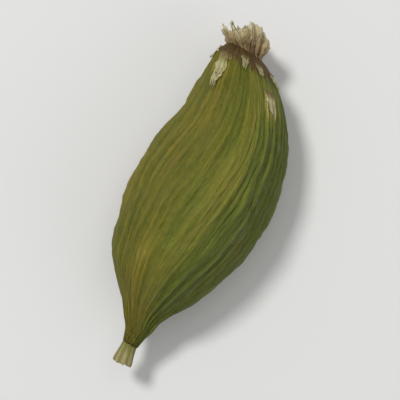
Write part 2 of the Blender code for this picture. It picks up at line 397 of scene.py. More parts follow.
@dataclass(frozen=True)
class HuskSkin:
    """The husk's finish: a dry, ribbed, parchment-like skin, green in places and straw-coloured in others."""

    # From the greenest to the driest: where each tone lies, and its colour on a cool and on a warm side.
    tones: tuple[float, ...] = (0.30, 0.52, 0.76, 1.00)
    cool: tuple[Colour, ...] = (
        (0.076, 0.105, 0.012, 1),
        (0.128, 0.150, 0.014, 1),
        (0.208, 0.196, 0.024, 1),
        (0.430, 0.370, 0.120, 1),
    )
    warm: tuple[Colour, ...] = (
        (0.064, 0.078, 0.005, 1),
        (0.121, 0.122, 0.008, 1),
        (0.212, 0.170, 0.014, 1),
        (0.420, 0.330, 0.090, 1),
    )
    speck: Colour = (0.085, 0.050, 0.014, 1)
    stain: Colour = (0.190, 0.125, 0.035, 1)
    seam: Colour = (0.110, 0.080, 0.022, 1)
    scar: Colour = (0.135, 0.080, 0.030, 1)
    sheen: Colour = (1.0, 0.95, 0.70, 1)
    patch_grain: Grain = Grain(1.5, 1.1, 4)
    streak_grain: Grain = Grain(9, 0.5, 3, 0.6)
    thread_grain: Grain = Grain(26, 1.6, 2, 0.6)
    mottle_grain: Grain = Grain(14, 12, 4, 0.7)
    stain_grain: Grain = Grain(3.1, 2.0, 5, 0.6)
    pore_grain: Grain = Grain(30, 24, 3, 0.7)
    grain_depth: float = 4.5e-5
    pore_depth: float = 8e-5

    def material(self) -> Material:
        """The finish as a material."""
        recipe = Recipe("husk_skin")
        fibre = recipe.trait(Trait.FIBRE)
        crest = recipe.trait(Trait.CREST)
        patches = recipe.bands(fibre, self.patch_grain)
        streaks = recipe.bands(fibre, self.streak_grain)
        threads = recipe.bands(fibre, self.thread_grain)
        mottle = recipe.grain(fibre, self.mottle_grain)
        # Paler on the rib crests and darker in the valleys between them: partly the skin's own paler crests,
        # partly painted shade in the valleys.
        parts = [(patches, 0.13), (streaks, 0.09), (threads, 0.14), (mottle, 0.36), (crest, 0.28)]
        tone = recipe.total(recipe.trait(Trait.STRAW), parts)
        warmth = recipe.total(-0.15, [(recipe.trait(Trait.WARMTH), 1.0), (patches, 0.3)])
        cool, warm = (recipe.ramp(tone, list(zip(self.tones, side))) for side in (self.cool, self.warm))
        colour = recipe.blend(recipe.spread(warmth, 0.0, 1.0), cool, warm)

        stains = recipe.spread(recipe.grain(fibre, self.stain_grain), 0.60, 0.72)
        colour = recipe.tinted(colour, self.stain, stains, 0.45)
        spots = recipe.spread(recipe.cells(recipe.stretched(fibre, 6.5, 5.5)), 0.15, 0.07)
        spotted = recipe.math("MULTIPLY", spots, recipe.spread(mottle, 0.50, 0.60))
        colour = recipe.tinted(colour, self.speck, spotted, 0.6)
        broken = recipe.math("MULTIPLY", recipe.trait(Trait.SEAM), recipe.spread(streaks, 0.1, 0.6))
        colour = recipe.tinted(colour, self.seam, broken, 0.45)
        scar = recipe.total(-0.3, [(recipe.trait(Trait.SCAR), 1.0), (mottle, 1.2), (threads, 0.3)])
        scar_colour = recipe.blend(threads, self.scar, self.speck)
        colour = recipe.blend(recipe.spread(scar, 0.75, 1.05), colour, scar_colour)

        pores = recipe.grain(fibre, self.pore_grain)
        grain = recipe.bump(threads, self.grain_depth)
        normal = recipe.bump(pores, self.pore_depth, grain)
        recipe.put(recipe.shader, {"Normal": normal, "Specular Tint": self.sheen})
        recipe.let_light_in(0.05, (1.0, 0.8, 0.25), 0.0003)
        roughness = recipe.total(0.38, [(mottle, 0.22), (pores, 0.16)])
        return recipe.finish(colour, roughness, 0.38)


@dataclass(frozen=True)
class StalkFibre:
    """The stalk's finish: stringy, green at its root and straw-coloured at its break, with a brown pith."""

    green: Colour = (0.165, 0.160, 0.026, 1)
    # Darker brown for the grooves between the ridges: partly the tissue's own tone, partly painted shade.
    groove_tone_and_shade: Colour = (0.135, 0.105, 0.030, 1)
    straw: Colour = (0.270, 0.235, 0.085, 1)
    pale: Colour = (0.440, 0.395, 0.190, 1)
    pith: Colour = (0.300, 0.200, 0.095, 1)
    string_grain: Grain = Grain(9, 1.5, 4, 0.6)
    patch_grain: Grain = Grain(1.6, 1.4)
    grain_depth: float = 1.8e-5

    def material(self) -> Material:
        """The finish as a material."""
        recipe = Recipe("stalk_fibre")
        fibre = recipe.trait(Trait.FIBRE)
        strings = recipe.grain(fibre, self.string_grain)
        patches = recipe.grain(fibre, self.patch_grain)
        # The ridge trait turns the grooves between ridges towards the darker groove colour: partly own tone,
        # partly painted shade.
        tone = recipe.total(0.0, [(recipe.trait(Trait.CREST), 0.35), (strings, 0.55), (patches, 0.35)])
        colour = recipe.ramp(tone, [(0.25, self.groove_tone_and_shade), (0.62, self.straw), (0.95, self.pale)])
        rooted = recipe.total(0.0, [(recipe.trait(Trait.STRAW), 1.0), (patches, 0.4), (strings, 0.3)])
        colour = recipe.blend(recipe.spread(rooted, 1.25, 0.85), colour, self.green)
        colour = recipe.blend(recipe.trait(Trait.EDGE), colour, self.pith)
        recipe.put(recipe.shader, {"Normal": recipe.bump(strings, self.grain_depth)})
        return recipe.finish(colour, recipe.total(0.60, [(patches, 0.30)]), 0.35)


@dataclass(frozen=True)
class WitheredPaper:
    """The flower's finish: tan, brown-veined paper, pale where it is torn and reddish brown in its depths."""

    name: str = "withered_paper"
    depth: Colour = (0.100, 0.050, 0.022, 1)
    brown: Colour = (0.225, 0.140, 0.058, 1)
    tan: Colour = (0.410, 0.325, 0.165, 1)
    pale: Colour = (0.660, 0.600, 0.400, 1)
    vein_grain: Grain = Grain(8, 0.8, 4, 0.6)
    blotch_grain: Grain = Grain(2.2, 2.0, 4)
    vein_depth: float = 6e-5

    def material(self) -> Material:
        """The finish as a material."""
        recipe = Recipe(self.name)
        fibre = recipe.trait(Trait.FIBRE)
        veins = recipe.bands(fibre, self.vein_grain)
        blotches = recipe.grain(fibre, self.blotch_grain)
        parts = [(recipe.trait(Trait.EDGE), 0.55), (veins, 0.26), (blotches, 0.50)]
        tone = recipe.total(-0.18, parts)
        stops = [(0.12, self.depth), (0.34, self.brown), (0.60, self.tan), (0.88, self.pale)]
        colour = recipe.ramp(tone, stops)
        recipe.put(recipe.shader, {"Normal": recipe.bump(veins, self.vein_depth)})
        recipe.let_light_in(0.12, (1.0, 0.7, 0.4), 0.0004)
        return recipe.finish(colour, recipe.total(0.55, [(blotches, 0.35)]), 0.35)


FLAKE_PAPER = WitheredPaper(
    name="flake_paper",
    depth=(0.130, 0.085, 0.030, 1),
    brown=(0.205, 0.150, 0.045, 1),
    tan=(0.380, 0.325, 0.120, 1),
    pale=(0.640, 0.590, 0.320, 1),
)


@dataclass(frozen=True)
class FloorFinish:
    """The floor's finish: matt, pale and nearly even."""

    pale: Colour = (0.74, 0.735, 0.72, 1)
    paler: Colour = (0.78, 0.775, 0.76, 1)
    mottle_grain: Grain = Grain(14.0, 14.0)

    def material(self) -> Material:
        """The finish as a material."""
        recipe = Recipe("pale_floor")
        coordinates = recipe.add("TexCoord", {})["Object"]
        colour = recipe.blend(recipe.grain(coordinates, self.mottle_grain), self.pale, self.paler)
        return recipe.finish(colour, 0.85, 0.2)


@dataclass
class Husk:
    """The husk: a three-sided, ribbed spindle that lies on one of its faces."""

    length: float = 0.0164
    half_width: float = 0.0041
    outline: Pairs = (
        (0.00, 0.225), (0.05, 0.32), (0.10, 0.475), (0.16, 0.65),
        (0.24, 0.80), (0.33, 0.905), (0.42, 0.975), (0.51, 1.00),
        (0.61, 0.97), (0.71, 0.895), (0.81, 0.79), (0.89, 0.68),
        (0.95, 0.56), (1.00, 0.42),
    )
    neck_end: Pairs = (
        (-0.00016, 0.00083), (-0.00034, 0.00074), (-0.00054, 0.00066), (-0.00076, 0.00059),
        (-0.00098, 0.00053), (-0.00116, 0.000485), (-0.00124, 0.000445), (-0.00112, 0.00038),
        (0.00010, 0.00030), (0.00020, 0.0),
    )
    crown_end: Pairs = (
        (0.00014, 0.00153), (0.00027, 0.00141), (0.00038, 0.00127), (0.00046, 0.00112),
        (0.00050, 0.00098), (0.00046, 0.00087), (0.00020, 0.00080), (-0.00036, 0.00070),
        (-0.00040, 0.0),
    )
    widest_share: float = 0.51
    flower_end_bend: float = 0.0018
    flower_bend_start: float = 0.66
    stalk_end_bend: float = 0.0006
    stalk_bend_end: float = 0.22
    stalk_end_droop: float = 0.0004
    neck_reach: float = 0.00124
    neck_shift: Pair = (0.000162, 0.000120)
    neck_slope: Pair = (0.12, 0.07)
    twist: float = math.radians(8)
    top_keel_lean: float = math.radians(9)
    keels: int = 3
    three_sided: float = 0.062
    keel_height: float = 0.00018
    keel_spread: float = math.radians(8)
    ribs: int = 27
    rib_height: float = 8.5e-5
    rib_sharpness: float = 2.6
    rib_wander: float = math.radians(1.3)
    least_rib: float = 0.45
    vein_height: float = 6e-5
    vein_sharpness: float = 3.0
    seed_swell: float = 7e-5
    seeds_in_row: float = 4.5
    seed_row_offset: float = math.radians(22)
    seed_row_spread: float = math.radians(13)
    face_hollows: tuple[float, float, float] = (0.00022, 2e-5, 0.00016)
    face_hollow_spread: float = math.radians(24)
    section_fade: float = 0.30
    mean_rib: float = 0.75
    rib_fading: Relief = Relief(0.5, 2.4, 3.5, octaves=2)
    relief_fade: float = 0.10
    relief_margin: float = 0.10
    flat_spot_depth: float = 0.00020
    flat_spot_rim: float = 3e-5
    dents: Relief = Relief(3e-5, 0.8, 2.2, 1.3, octaves=2)
    # Broad crinkles, wrinkles across the husk, small puckers and fine lines along it.
    creases: tuple[Relief, ...] = (
        Relief(8e-5, 7.0, 5.0, 3.1),
        Relief(4e-5, 3.0, 34.0, 7.7, octaves=2),
        Relief(6.6e-5, 16.0, 20.0, 5.9, octaves=2),
        Relief(4.8e-5, 34.0, 8.0, 12.3, octaves=2),
    )
    seam_depth: float = 4.5e-5
    seam_spread: float = math.radians(1.2)
    seam_sway: float = 0.8
    seam_waves: float = 2.3
    dry_neck: Rise = (0.16, -0.18)
    dry_sleeve: Rise = (0.0, -0.06)
    dry_crown: Rise = (0.90, 0.12)
    crown_scar: Rise = (0.94, 0.08)
    neck_scar: Rise = (-0.062, -0.012)
    neck_scar_strength: float = 0.62
    # How much straw colour the left side, the neck, its sleeve, the crown and the keels have.
    left_straw: float = 0.09
    neck_straw: float = 0.10
    sleeve_straw: float = 1.2
    crown_straw: float = 0.10
    keel_straw: float = 0.14
    keel_straw_spread: float = 1.3 * math.radians(8)
    greenness: float = 0.01
    # Where the skin is worn: offset and its reach in degrees, share and its reach, and how much paler it is.
    flecks: tuple[tuple[float, ...], ...] = (
        (27, 15, 0.895, 0.050, 0.55),
        (300, 14, 0.920, 0.035, 0.40),
        (332, 14, 0.220, 0.130, 0.20),
        (290, 22, 0.220, 0.140, -0.07),
        (200, 9, 0.680, 0.110, 0.12),
    )
    warm_turn: float = math.radians(12)
    warm_contrast: float = 0.62
    end_crowding: float = 0.35
    columns: int = 504
    rows: int = 170
    seed: int = 11

    def __post_init__(self) -> None:
        """Works out the middle line's height and draws the ribs' strengths."""
        self.middle_height = self.half_width * (1 - self.three_sided) - self.flat_spot_depth
        draw = random.Random(self.seed)
        self.rib_strengths = np.array([draw.uniform(self.least_rib, 1.0) for _ in range(self.ribs)])
        self.wander_waves = draw.uniform(1.1, 1.5)
        self.wander_start = draw.uniform(0, FULL_TURN)
        self.vein_strengths = np.array([draw.uniform(0.0, 1.0) for _ in range(self.ribs)])

    def outline_radius(self, share: Numbers) -> Numbers:
        """The plain radius at shares of the length, on a smooth curve through the outline's points."""
        places = np.array([point[0] for point in self.outline])
        radii = np.array([point[1] for point in self.outline])
        slopes = np.empty(len(places))
        slopes[1:-1] = (radii[2:] - radii[:-2]) / (places[2:] - places[:-2])
        slopes[0] = (radii[1] - radii[0]) / (places[1] - places[0])
        slopes[-1] = (radii[-1] - radii[-2]) / (places[-1] - places[-2])
        index = np.clip(np.searchsorted(places, share) - 1, 0, len(places) - 2)
        step = places[index + 1] - places[index]
        t = (share - places[index]) / step
        values = (radii[index], radii[index + 1])
        return self.half_width * cubic(t, values, (slopes[index], slopes[index + 1]), step)

    def middle_line(self, share: Numbers) -> Numbers:
        """The middle of the husk's section at each share, one point a row."""
        flower = np.maximum(0.0, (share - self.flower_bend_start) / (1 - self.flower_bend_start)) ** 2
        stalk = np.maximum(0.0, 1 - np.maximum(share, 0.0) / self.stalk_bend_end) ** 2
        forward = (share - self.widest_share) * self.length
        sideways = self.flower_end_bend * flower - self.stalk_end_bend * stalk
        height = self.middle_height - self.stalk_end_droop * stalk
        t = np.maximum(0.0, -share) * self.length / self.neck_reach
        bends = (self.stalk_end_bend, self.stalk_end_droop)
        for line, bend, shift, slope in zip((sideways, height), bends, self.neck_shift, self.neck_slope):
            first_slope = 2 * bend / (self.stalk_bend_end * self.length)
            line -= cubic(t, (0, shift), (first_slope, slope), self.neck_reach)
        return np.stack([forward, sideways, height], axis=-1)

    def keel_offset(self, offset: Numbers) -> tuple[Numbers, Numbers]:
        """The signed angle from the nearest keel, and the number of that keel."""
        keel_angle = FULL_TURN / self.keels
        keel = np.round(offset / keel_angle)
        return offset - keel * keel_angle, keel % self.keels

    def rib_waves(self, offset: Numbers) -> tuple[Numbers, Numbers]:
        """How high the ribs stand, from -1 to 1, and the veins in the valleys between them, from 0 to 1."""
        turn = offset * self.ribs / FULL_TURN
        rib = np.floor(turn).astype(int) % self.ribs
        inside = turn - np.floor(turn)
        neighbour = np.where(inside < 0.5, rib - 1, rib + 1) % self.ribs
        from_crest = np.abs(inside - 0.5)
        strength = self.rib_strengths[rib] * (1 - from_crest) + self.rib_strengths[neighbour] * from_crest
        crest = ((1 - np.cos(FULL_TURN * inside)) / 2) ** self.rib_sharpness
        valley = np.where(inside < 0.5, rib, rib + 1) % self.ribs
        vein = ((1 + np.cos(FULL_TURN * inside)) / 2) ** self.vein_sharpness * self.vein_strengths[valley]
        return strength * (2 * crest - 1), vein

    def seed_rows(self, from_keel: Numbers, keel: Numbers, share: Numbers) -> Numbers:
        """The low swellings over the two rows of seeds beside each keel, from -1 to 1."""
        row = (from_keel > 0).astype(float)
        along = np.cos(FULL_TURN * (self.seeds_in_row * share + row / 2 + keel / self.keels))
        return along * bell(np.abs(from_keel) - self.seed_row_offset, self.seed_row_spread)

    def face_hollow(self, offset: Numbers) -> Numbers:
        """How far the face at each offset has shrunk in, deepest between its keels."""
        face_angle = FULL_TURN / self.keels
        face = ((offset % FULL_TURN) / face_angle).astype(int) % self.keels
        from_middle = (offset % FULL_TURN) - (face + 0.5) * face_angle
        return np.array(self.face_hollows)[face] * bell(from_middle, self.face_hollow_spread)

    def skin(self, offset: Numbers, share: Numbers, base: Numbers) -> tuple[Numbers, Numbers, Numbers]:
        """The husk's surface.

        Args:
            offset: The angles from the top keel.
            share: The shares of the length.
            base: The plain radii that the section and the relief are built on.

        Returns:
            The points, one a row, how far each is up a rib, and how near it is to a keel's seam.
        """
        from_keel, keel = self.keel_offset(offset)
        section = both_ends_fade(share, self.section_fade)
        within = (share + self.relief_margin) / (1 + 2 * self.relief_margin)
        relief = both_ends_fade(within, self.relief_fade)
        girth = np.sqrt(base / self.half_width)
        fading = self.mean_rib + self.rib_fading.height(offset, share)
        ribs, veins = self.rib_waves(offset)
        seam_turn = FULL_TURN * self.seam_waves * share + 2 * keel
        seam_wobble = self.seam_spread * self.seam_sway * np.sin(seam_turn)
        seam = bell(from_keel - seam_wobble, self.seam_spread) * both_ends_fade(share, 2 * self.relief_fade)

        radius = base * (1 + self.three_sided * np.cos(self.keels * offset) * section)
        radius += self.keel_height * bell(from_keel, self.keel_spread) * section
        radius += (self.rib_height * ribs * fading + self.vein_height * veins) * girth * relief
        radius += self.seed_swell * self.seed_rows(from_keel, keel, share) * section
        radius -= self.face_hollow(offset) * section
        radius += sum(crease.height(offset, share) for crease in self.creases) * girth
        radius += self.dents.height(offset, share) * section - self.seam_depth * seam

        wander_turn = FULL_TURN * self.wander_waves * share + 2 * offset + self.wander_start
        wander = self.rib_wander * np.sin(wander_turn)
        angle = math.pi / 2 + offset + wander + self.twist * (share - self.widest_share)
        angle += self.top_keel_lean * (1 + np.cos(offset)) / 2
        out = np.stack([np.zeros(len(angle)), np.cos(angle), np.sin(angle)], axis=1)
        points = self.middle_line(share) + radius[:, None] * out
        low = points[:, 2]
        points[:, 2] = (low + np.sqrt(low**2 + self.flat_spot_rim**2)) / 2
        return points, np.clip((ribs + veins + 1) / 2, 0, 1) * relief, seam

    def profile(self) -> list[tuple[float, float]]:
        """The half outline that the husk is turned from, from the pole in its neck to that in its crown."""
        turn = np.linspace(0, math.pi, self.rows)
        crowded = self.end_crowding * (1 - np.cos(turn)) / 2
        shares = crowded + (1 - self.end_crowding) * turn / math.pi
        start = self.length * (0 - self.widest_share)
        end = self.length * (1 - self.widest_share)
        neck = [(start + place, radius) for place, radius in reversed(self.neck_end)]
        body = list(zip((shares - self.widest_share) * self.length, self.outline_radius(shares)))
        crown = [(end + place, radius) for place, radius in self.crown_end]
        return [(float(place), float(radius)) for place, radius in neck + body + crown]

    def straw_share(self, offset: Numbers, share: Numbers, from_keel: Numbers) -> Numbers:
        """How far the green has turned to straw: by place on the pod, before the skin's own patches."""
        left = -np.sin(offset)
        neck = rising(share, self.dry_neck) + self.sleeve_straw * rising(share, self.dry_sleeve)
        crown = rising(share, self.dry_crown)
        keel = bell(from_keel, self.keel_straw_spread)
        worn = np.zeros(len(offset))
        for place, spread, along, reach, strength in self.flecks:
            across = bell(offset - math.radians(place), math.radians(spread))
            worn += strength * across * bell(share - along, reach)
        ends = self.left_straw * left + self.neck_straw * neck + self.crown_straw * crown
        return ends + self.keel_straw * keel + worn - self.greenness

    def build(self, finish: HuskSkin) -> Piece:
        """Models the husk and dresses it.

        Args:
            finish: The skin's finish.

        Returns:
            The piece that stands for the husk's solid.
        """
        piece = turned_body("ribbed_husk", self.profile(), self.columns)
        plain = vertex_places(piece)
        base = np.hypot(plain[:, 1], plain[:, 2])
        offset = np.arctan2(-plain[:, 1], plain[:, 2]) % FULL_TURN
        share = plain[:, 0] / self.length + self.widest_share
        points, crest, seam = self.skin(offset, share, base)
        place_vertices(piece, points)
        fibre = round_coordinates(offset, share, 1.0, self.length / self.half_width)
        scars = rising(share, self.crown_scar) + self.neck_scar_strength * rising(share, self.neck_scar)
        warmth = smooth_step(0.5 - self.warm_contrast * np.sin(offset + self.warm_turn))
        straw = self.straw_share(offset, share, self.keel_offset(offset)[0])
        traits = {Trait.FIBRE: fibre, Trait.CREST: crest, Trait.SEAM: seam, Trait.SCAR: scars}
        write_traits(piece, traits | {Trait.WARMTH: warmth, Trait.STRAW: straw})
        dress(piece, finish.material(), "husk")
        return piece


@dataclass
class Stalk:
    """The stub of the stalk: ridged, and swollen and frayed where it broke off."""

    root_radius: float = 0.00040
    sunk: float = 0.0006
    lip: float = 0.00012
    length: float = 0.0029
    middle_radius: float = 0.00043
    middle_share: float = 0.4
    swells_from: float = 0.6
    end_radius: float = 0.00058
    ridges: Ridges = Ridges(8, 2e-5, 0.6, 5)
    fine_ridges: Ridges = Ridges(19, 7e-6, 1.1, 4, start=1)
    ridges_fade: float = 0.3
    curve: float = 0.00012
    break_depth: float = 0.00012
    bark: Relief = Relief(2.2e-5, 2.0, 7.0)
    torn: Relief = Relief(0.00011, 2.6, 2.0, 4.4)
    torn_end: Rise = (0.93, 0.07)
    # The break's rim, as depths and shares of the end's radius, and the shares of its floor.
    break_rim: Pairs = ((1e-5, 0.93), (6e-5, 0.82))
    break_floor: tuple[float, ...] = (0.66, 0.3, 0.0)
    pith_end: Rise = (0.955, 0.03)
    pith_share: float = 0.9
    pith_rim: float = 0.0001
    turn: Euler = Euler((0, math.radians(-4), math.radians(4)))
    columns: int = 120
    rows: int = 60
    fibres: int = 22
    fibre_length: float = 0.00022
    fibre_radius: float = 4.2e-5
    fibre_sides: int = 6
    # The least and the most of what each fibre draws: its place, length, lean, spread and thickness.
    fibre_places: Pair = (0.05, 0.96)
    fibre_lengths: Pair = (0.5, 1.0)
    fibre_leans: Pair = (-0.35, 0.35)
    fibre_spreads: Pair = (0.0, 0.4)
    fibre_widths: Pair = (0.7, 1.2)
    fibre_tip: float = 0.35
    fibre_crest: float = 0.3
    fibre_pith: float = 0.45
    seed: int = 5

    def radius(self, share: Numbers) -> Numbers:
        """The plain radius from the root, at 0, to the broken end, at 1."""
        to_middle = smooth_step(share / self.middle_share)
        to_end = smooth_step((share - self.swells_from) / (1 - self.swells_from))
        even = self.root_radius + (self.middle_radius - self.root_radius) * to_middle
        return even + (self.end_radius - self.middle_radius) * to_end

    def shape(self, places: Numbers, husk: Husk) -> Numbers:
        """Bends the straight stub, turns it and sets it in the husk's neck."""
        share = -places[:, 0] / self.length
        bent = places.copy()
        bent[:, 1] -= self.curve * share**2
        root = husk.middle_line(np.array([0.0]))[0] + np.array([self.sunk - self.lip, 0, 0])
        return bent @ np.array(self.turn.to_matrix()).T + root

    def frayed_fibre(self, draw: random.Random) -> Piece:
        """One of the fibres that stand out of the break, at its place on the straight stub."""
        place = FULL_TURN * draw.random()
        out = (self.end_radius - self.fibre_radius) * math.sqrt(draw.uniform(*self.fibre_places))
        length = self.fibre_length * draw.uniform(*self.fibre_lengths)
        lean = draw.uniform(*self.fibre_leans)
        spread = draw.uniform(*self.fibre_spreads)
        start = Vector((-self.length + self.break_depth, out * math.cos(place), out * math.sin(place)))
        way = Vector((-1, math.cos(place) * spread - math.sin(place) * lean, math.sin(place) * spread))
        turn = Vector((0, 0, 1)).rotation_difference(way)
        deselect_all()
        bpy.ops.mesh.primitive_cone_add(
            vertices=self.fibre_sides,
            radius1=self.fibre_radius * draw.uniform(*self.fibre_widths),
            radius2=self.fibre_radius * self.fibre_tip,
            depth=length,
            location=start + way.normalized() * length / 2,
            rotation=turn.to_euler(),
        )
        bpy.ops.object.transform_apply(location=True, rotation=True, scale=True)
        return bpy.context.object

    def build(self, finish: StalkFibre, husk: Husk) -> Piece:
        """Models the stub and dresses it.

        Args:
            finish: The stub's finish.
            husk: The husk whose neck holds it.

        Returns:
            The piece that stands for the stalk's solid.
        """
        shares = np.linspace(0, 1, self.rows)
        wall = [(float(-self.length * share), float(self.radius(share))) for share in shares]
        rim = [(-self.length + depth, self.end_radius * part) for depth, part in self.break_rim]
        floor = [(-self.length + self.break_depth, self.end_radius * part) for part in self.break_floor]
        stub = turned_body("broken_stalk", [(0.0, 0.0)] + wall + rim + floor, self.columns)
        plain = vertex_places(stub)
        offset = np.arctan2(-plain[:, 1], plain[:, 2])
        share = np.clip(-plain[:, 0] / self.length, 0, 1)
        base = np.hypot(plain[:, 1], plain[:, 2])
        fade = smooth_step(share / self.ridges_fade) * smooth_step(base / self.root_radius)
        ridge = self.ridges.wave(offset, share)
        fine = self.fine_ridges.wave(offset, share)
        bark = self.bark.height(offset, share)
        lift = (self.ridges.height * ridge + self.fine_ridges.height * fine + bark) * fade
        factor = 1 + lift / np.maximum(base, self.root_radius / 2)
        plain[:, 1:] *= factor[:, None]
        torn = self.torn.height(offset, base / self.end_radius)
        plain[:, 0] -= torn * rising(share, self.torn_end)
        place_vertices(stub, self.shape(plain, husk))
        fibre = round_coordinates(offset, share, 1.0, self.length / self.root_radius / 2)
        inside = rising(base, (self.pith_share * self.end_radius, -self.pith_rim))
        traits = {Trait.FIBRE: fibre, Trait.CREST: (ridge + 1) / 2, Trait.STRAW: share}
        write_traits(stub, traits | {Trait.EDGE: rising(share, self.pith_end) * inside})

        draw = random.Random(self.seed)
        pieces = [stub]
        for _ in range(self.fibres):
            fibre = self.frayed_fibre(draw)
            places = vertex_places(fibre)
            tip = (-places[:, 0] - self.length + self.break_depth) / self.fibre_length
            traits = {Trait.FIBRE: places / self.end_radius, Trait.STRAW: np.ones(len(places))}
            # Paler towards each fibre's tip and darker at its root down in the break: partly painted shade.
            traits[Trait.CREST] = np.clip(self.fibre_crest + tip, 0, 1)
            traits[Trait.EDGE] = np.clip(self.fibre_pith - tip, 0, 1)
            write_traits(fibre, traits)
            place_vertices(fibre, self.shape(places, husk))
            pieces.append(fibre)
        piece = join_pieces(pieces, "broken_stalk")
        dress(piece, finish.material(), "stalk")
        return piece


@dataclass
class PaperTube:
    """A withered tube of papery skin, pleated along its length and torn into teeth round its mouth."""

    root_radius: float
    waist_radius: float
    mouth_radius: float
    length: float
    notch_share: float
    # Each tooth: its angle in degrees, its height as a share of the length, and its lean outwards.
    teeth: tuple[tuple[float, float, float], ...]
    pleats: int
    pleat_height: float
    crumple: float
    twist: float
    start: float
    tooth_spread: float = math.radians(44)
    wall: float = 6e-5
    waist_level: float = 0.3
    flares_from: float = 0.35
    tears: Relief = Relief(0.06, 2.6, 0.0, octaves=2)
    frays: Relief = Relief(0.055, 15.0, 0.0)
    sway: Relief = Relief(1.0, 1.1, 1.4, start=8)
    pleat_sway: float = 2.4
    crumples: Relief = Relief(1.0, 1.6, 2.6)
    creases: Relief = Relief(1.0, 4.2, 6.5, start=5)
    crease_share: float = 0.6
    crumple_rise: Rise = (0.0, 0.4)
    pale_rise: Rise = (0.25, 0.75)
    paleness: float = 0.8
    rim_rise: Rise = (0.88, 0.12)
    rim_paleness: float = 0.35
    columns: int = 240
    rows: int = 40

    def own(self, relief: Relief, angle: Numbers, level: Numbers) -> Numbers:
        """A relief's height at those angles and levels, on this tube's own stretch of the noise."""
        return replace(relief, start=self.start + relief.start).height(angle, level)

    def tooth_rise(self, angle: Numbers) -> tuple[Numbers, Numbers]:
        """The torn edge's height as a share of the length, and its lean outwards, at each of the angles."""
        rise = np.full(len(angle), self.notch_share)
        lean = np.zeros(len(angle))
        for degrees, height, out in self.teeth:
            from_tooth = (angle - math.radians(degrees) + math.pi) % FULL_TURN - math.pi
            nearness = bell(from_tooth, self.tooth_spread)
            rise += (height - self.notch_share) * nearness
            lean += out * nearness
        return rise, lean

    def build(self, name: str) -> Piece:
        """Models the tube, standing along +X from the origin.

        Args:
            name: The new object's name.

        Returns:
            The tube as a thin closed wall, with its traits.
        """
        levels = np.linspace(0, 1, self.rows)
        profile = [(float(self.length * level), self.waist_radius) for level in levels]
        tube = turned_body(name, profile, self.columns)
        plain = vertex_places(tube)
        level = np.clip(plain[:, 0] / self.length, 0, 1)
        angle = np.arctan2(-plain[:, 1], plain[:, 2]) % FULL_TURN
        rise, lean = self.tooth_rise(angle)
        rise += self.own(self.tears, angle, level) + self.own(self.frays, angle, level)
        waist = smooth_step(level / self.waist_level)
        mouth = smooth_step((level - self.flares_from) / (1 - self.flares_from))
        radius = self.root_radius + (self.waist_radius - self.root_radius) * waist
        radius += (self.mouth_radius - self.waist_radius + lean) * mouth
        sway = self.own(self.sway, angle, level)
        pleats = np.cos(self.pleats * angle + self.pleat_sway * sway)
        radius += self.pleat_height * (1 + sway) * pleats * waist
        crumpled = self.own(self.crumples, angle, level)
        creased = self.own(self.creases, angle, level)
        uneven = self.crumple * crumpled + self.crease_share * self.crumple * creased
        radius += uneven * rising(level, self.crumple_rise)
        turn = math.pi / 2 + angle + self.twist * level
        height = level * rise * self.length
        places = np.stack([height, radius * np.cos(turn), radius * np.sin(turn)], axis=1)
        place_vertices(tube, places)
        reach = self.length / self.waist_radius / 2
        fibre = round_coordinates(angle, level * rise, 1.0, reach, self.start)
        pale = self.paleness * rising(level, self.pale_rise)
        pale += self.rim_paleness * rising(level, self.rim_rise)
        write_traits(tube, {Trait.FIBRE: fibre, Trait.EDGE: np.clip(pale, 0, 1)})
        give_wall(tube, self.wall)
        return tube


@dataclass
class FlowerRemnant:
    """The dry remnant of the flower: a torn cup with a withered tube and the stump of the style inside it."""

    root_radius: float = 0.00088
    sunk: float = 0.0005
    lip: float = 0.00012
    length: float = 0.0028
    waist_radius: float = 0.00084
    mouth_radius: float = 0.00135
    curve: float = 0.0012
    turn: Euler = Euler((0, math.radians(-5), math.radians(12)))

    def layer(self, root: float, waist: float, mouth: float, height: float, **form) -> PaperTube:
        """A tube whose radii and length are these shares of the cup's, with the rest of its form."""
        radii = (root * self.root_radius, waist * self.waist_radius, mouth * self.mouth_radius)
        return PaperTube(*radii, height * self.length, **form)

    def layers(self) -> list[PaperTube]:
        """The cup and, inside it, two narrower layers, each shorter and more crumpled than the last."""
        cup = self.layer(
            root=1, waist=1, mouth=1, height=1, notch_share=0.52, pleats=14, pleat_height=7e-5,
            crumple=0.00020, twist=0.0, start=2.0,
            teeth=((40, 0.94, 8e-5), (165, 0.80, 0.00030), (290, 0.70, 4e-5)),
        )
        middle = self.layer(
            root=0.72, waist=0.66, mouth=0.60, height=0.86, notch_share=0.74, pleats=7, pleat_height=7e-5,
            crumple=0.00018, twist=0.7, start=9.0,
            teeth=((100, 0.95, 0.0001), (220, 1.0, -0.0001), (340, 0.9, 0.0001)),
            frays=Relief(0.055, 6.0, 0.0), columns=108,
        )
        core = self.layer(
            root=0.30, waist=0.24, mouth=0.22, height=0.84, notch_share=0.80, pleats=5, pleat_height=3e-5,
            crumple=7e-5, twist=1.6, start=14.0, teeth=((60, 1.0, 0.0), (200, 0.9, 0.0001)),
            frays=Relief(0.055, 2.0, 0.0), columns=60,
        )
        return [cup, middle, core]

    def build(self, finish: WitheredPaper, husk: Husk) -> Piece:
        """Models the remnant and dresses it.

        Args:
            finish: The paper's finish.
            husk: The husk whose end holds it.

        Returns:
            The piece that stands for the remnant's solid.
        """
        tubes = [tube.build(f"flower_layer_{count}") for count, tube in enumerate(self.layers())]
        piece = join_pieces(tubes, "withered_flower")
        bent = vertex_places(piece)
        bent[:, 1] += self.curve * (bent[:, 0] / self.length) ** 2
        root = husk.middle_line(np.array([1.0]))[0] - np.array([self.sunk - self.lip, 0, 0])
        place_vertices(piece, bent @ np.array(self.turn.to_matrix()).T + root)
        dress(piece, finish.material(), "flower_remnant")
        return piece


@dataclass
class SkinStrip:
    """A strip of papery skin that peels from the husk's crown and lies over its shoulder."""

    degrees: float
    start: float
    length: float
    width: float
    lift: float
    curl: float
    slant: float


